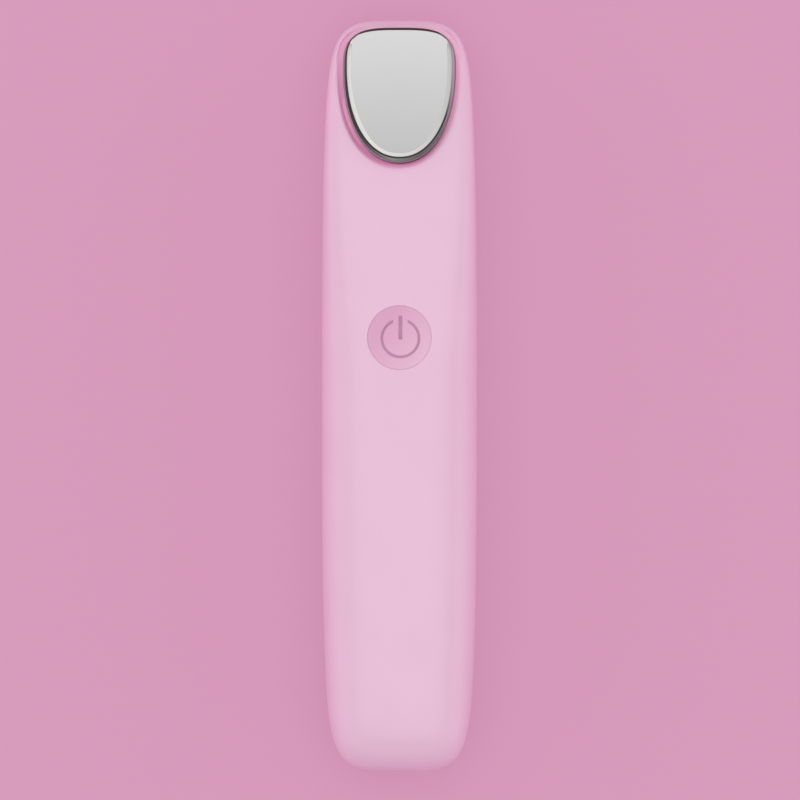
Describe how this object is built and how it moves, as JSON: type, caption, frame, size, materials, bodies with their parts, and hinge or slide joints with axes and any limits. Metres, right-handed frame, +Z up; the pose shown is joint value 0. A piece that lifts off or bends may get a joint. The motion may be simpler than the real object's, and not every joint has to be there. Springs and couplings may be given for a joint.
{
  "type": "ultrasonic eye massager",
  "caption": "Slim handheld wand with a slanted polished metal massage plate at its head, a dished power button on the front and a charging socket in the tail.",
  "frame": {"origin": "under the middle of the wand, at the level of the four feet on its back", "axes": "+Y along the wand towards the massage head, +X across it, +Z up through the front with the plate and the button"},
  "size_m": [0.028, 0.1359, 0.019],
  "materials": {
    "pink_shell": "satin moulded ABS, pale orchid pink",
    "polished_plate": "polished",
    "black_rubber": "matte",
    "pink_rubber": "matte",
    "white_plastic": "moulded",
    "black_plastic": "moulded",
    "board_green": "solder mask",
    "ceramic": "fired, silvered faces",
    "ferrite": "pressed",
    "steel": "plated",
    "cell_foil": "foil",
    "foam": "open cell",
    "red_wire": "insulated",
    "black_wire": "insulated"
  },
  "bodies": {
    "housing": {"front_housing": "pink_shell", "rear_housing": "pink_shell", "massage_plate": "polished_plate", "plate_gasket": "black_rubber", "plate_carrier": "white_plastic", "plate_retainer": "white_plastic", "retainer_screw_1": "steel", "retainer_screw_2": "steel", "piezo_disc": "ceramic", "motor_can": "steel", "motor_boot": "black_rubber", "switch_body": "black_plastic", "indicator_led": "white_plastic", "main_board": "board_green", "controller_chip": "black_plastic", "charger_chip": "black_plastic", "drive_transformer": "ferrite", "boost_inductor": "ferrite", "capacitor_1": "cell_foil", "capacitor_2": "cell_foil", "usb_shell": "steel", "usb_tongue": "black_plastic", "battery_cell": "cell_foil", "battery_pad": "foam", "protection_board": "board_green", "battery_plug": "white_plastic", "battery_lead_1": "red_wire", "battery_lead_2": "black_wire", "motor_lead_1": "red_wire", "motor_lead_2": "black_wire", "piezo_lead_1": "red_wire", "piezo_lead_2": "black_wire", "housing_screw_1": "steel", "housing_screw_2": "steel", "housing_screw_3": "steel", "housing_screw_4": "steel", "screw_plug_1": "pink_rubber", "screw_plug_2": "pink_rubber", "screw_plug_3": "pink_rubber", "screw_plug_4": "pink_rubber"},
    "button": {"power_button": "pink_shell"},
    "plunger": {"switch_plunger": "white_plastic"},
    "rotor": {"motor_shaft": "steel", "eccentric_weight": "steel"}
  },
  "joints": [
    {"name": "button_press", "type": "slide", "parent": "housing", "child": "button", "axis": [0, 0, -1], "range_m": [0, 0.0005], "stiffness_N_per_m": 2500, "springref_m": -0.0002},
    {"name": "plunger_press", "type": "slide", "parent": "housing", "child": "plunger", "axis": [0, 0, -1], "range_m": [0, 0.0005]},
    {"name": "motor_spin", "type": "hinge", "parent": "housing", "child": "rotor", "pos_m": [0, 0.0393, 0.0082], "axis": [0, 1, 0], "continuous": true}
  ],
  "couplings": [
    {"joint": "plunger_press", "follows": "button_press", "ratio": 1}
  ]
}
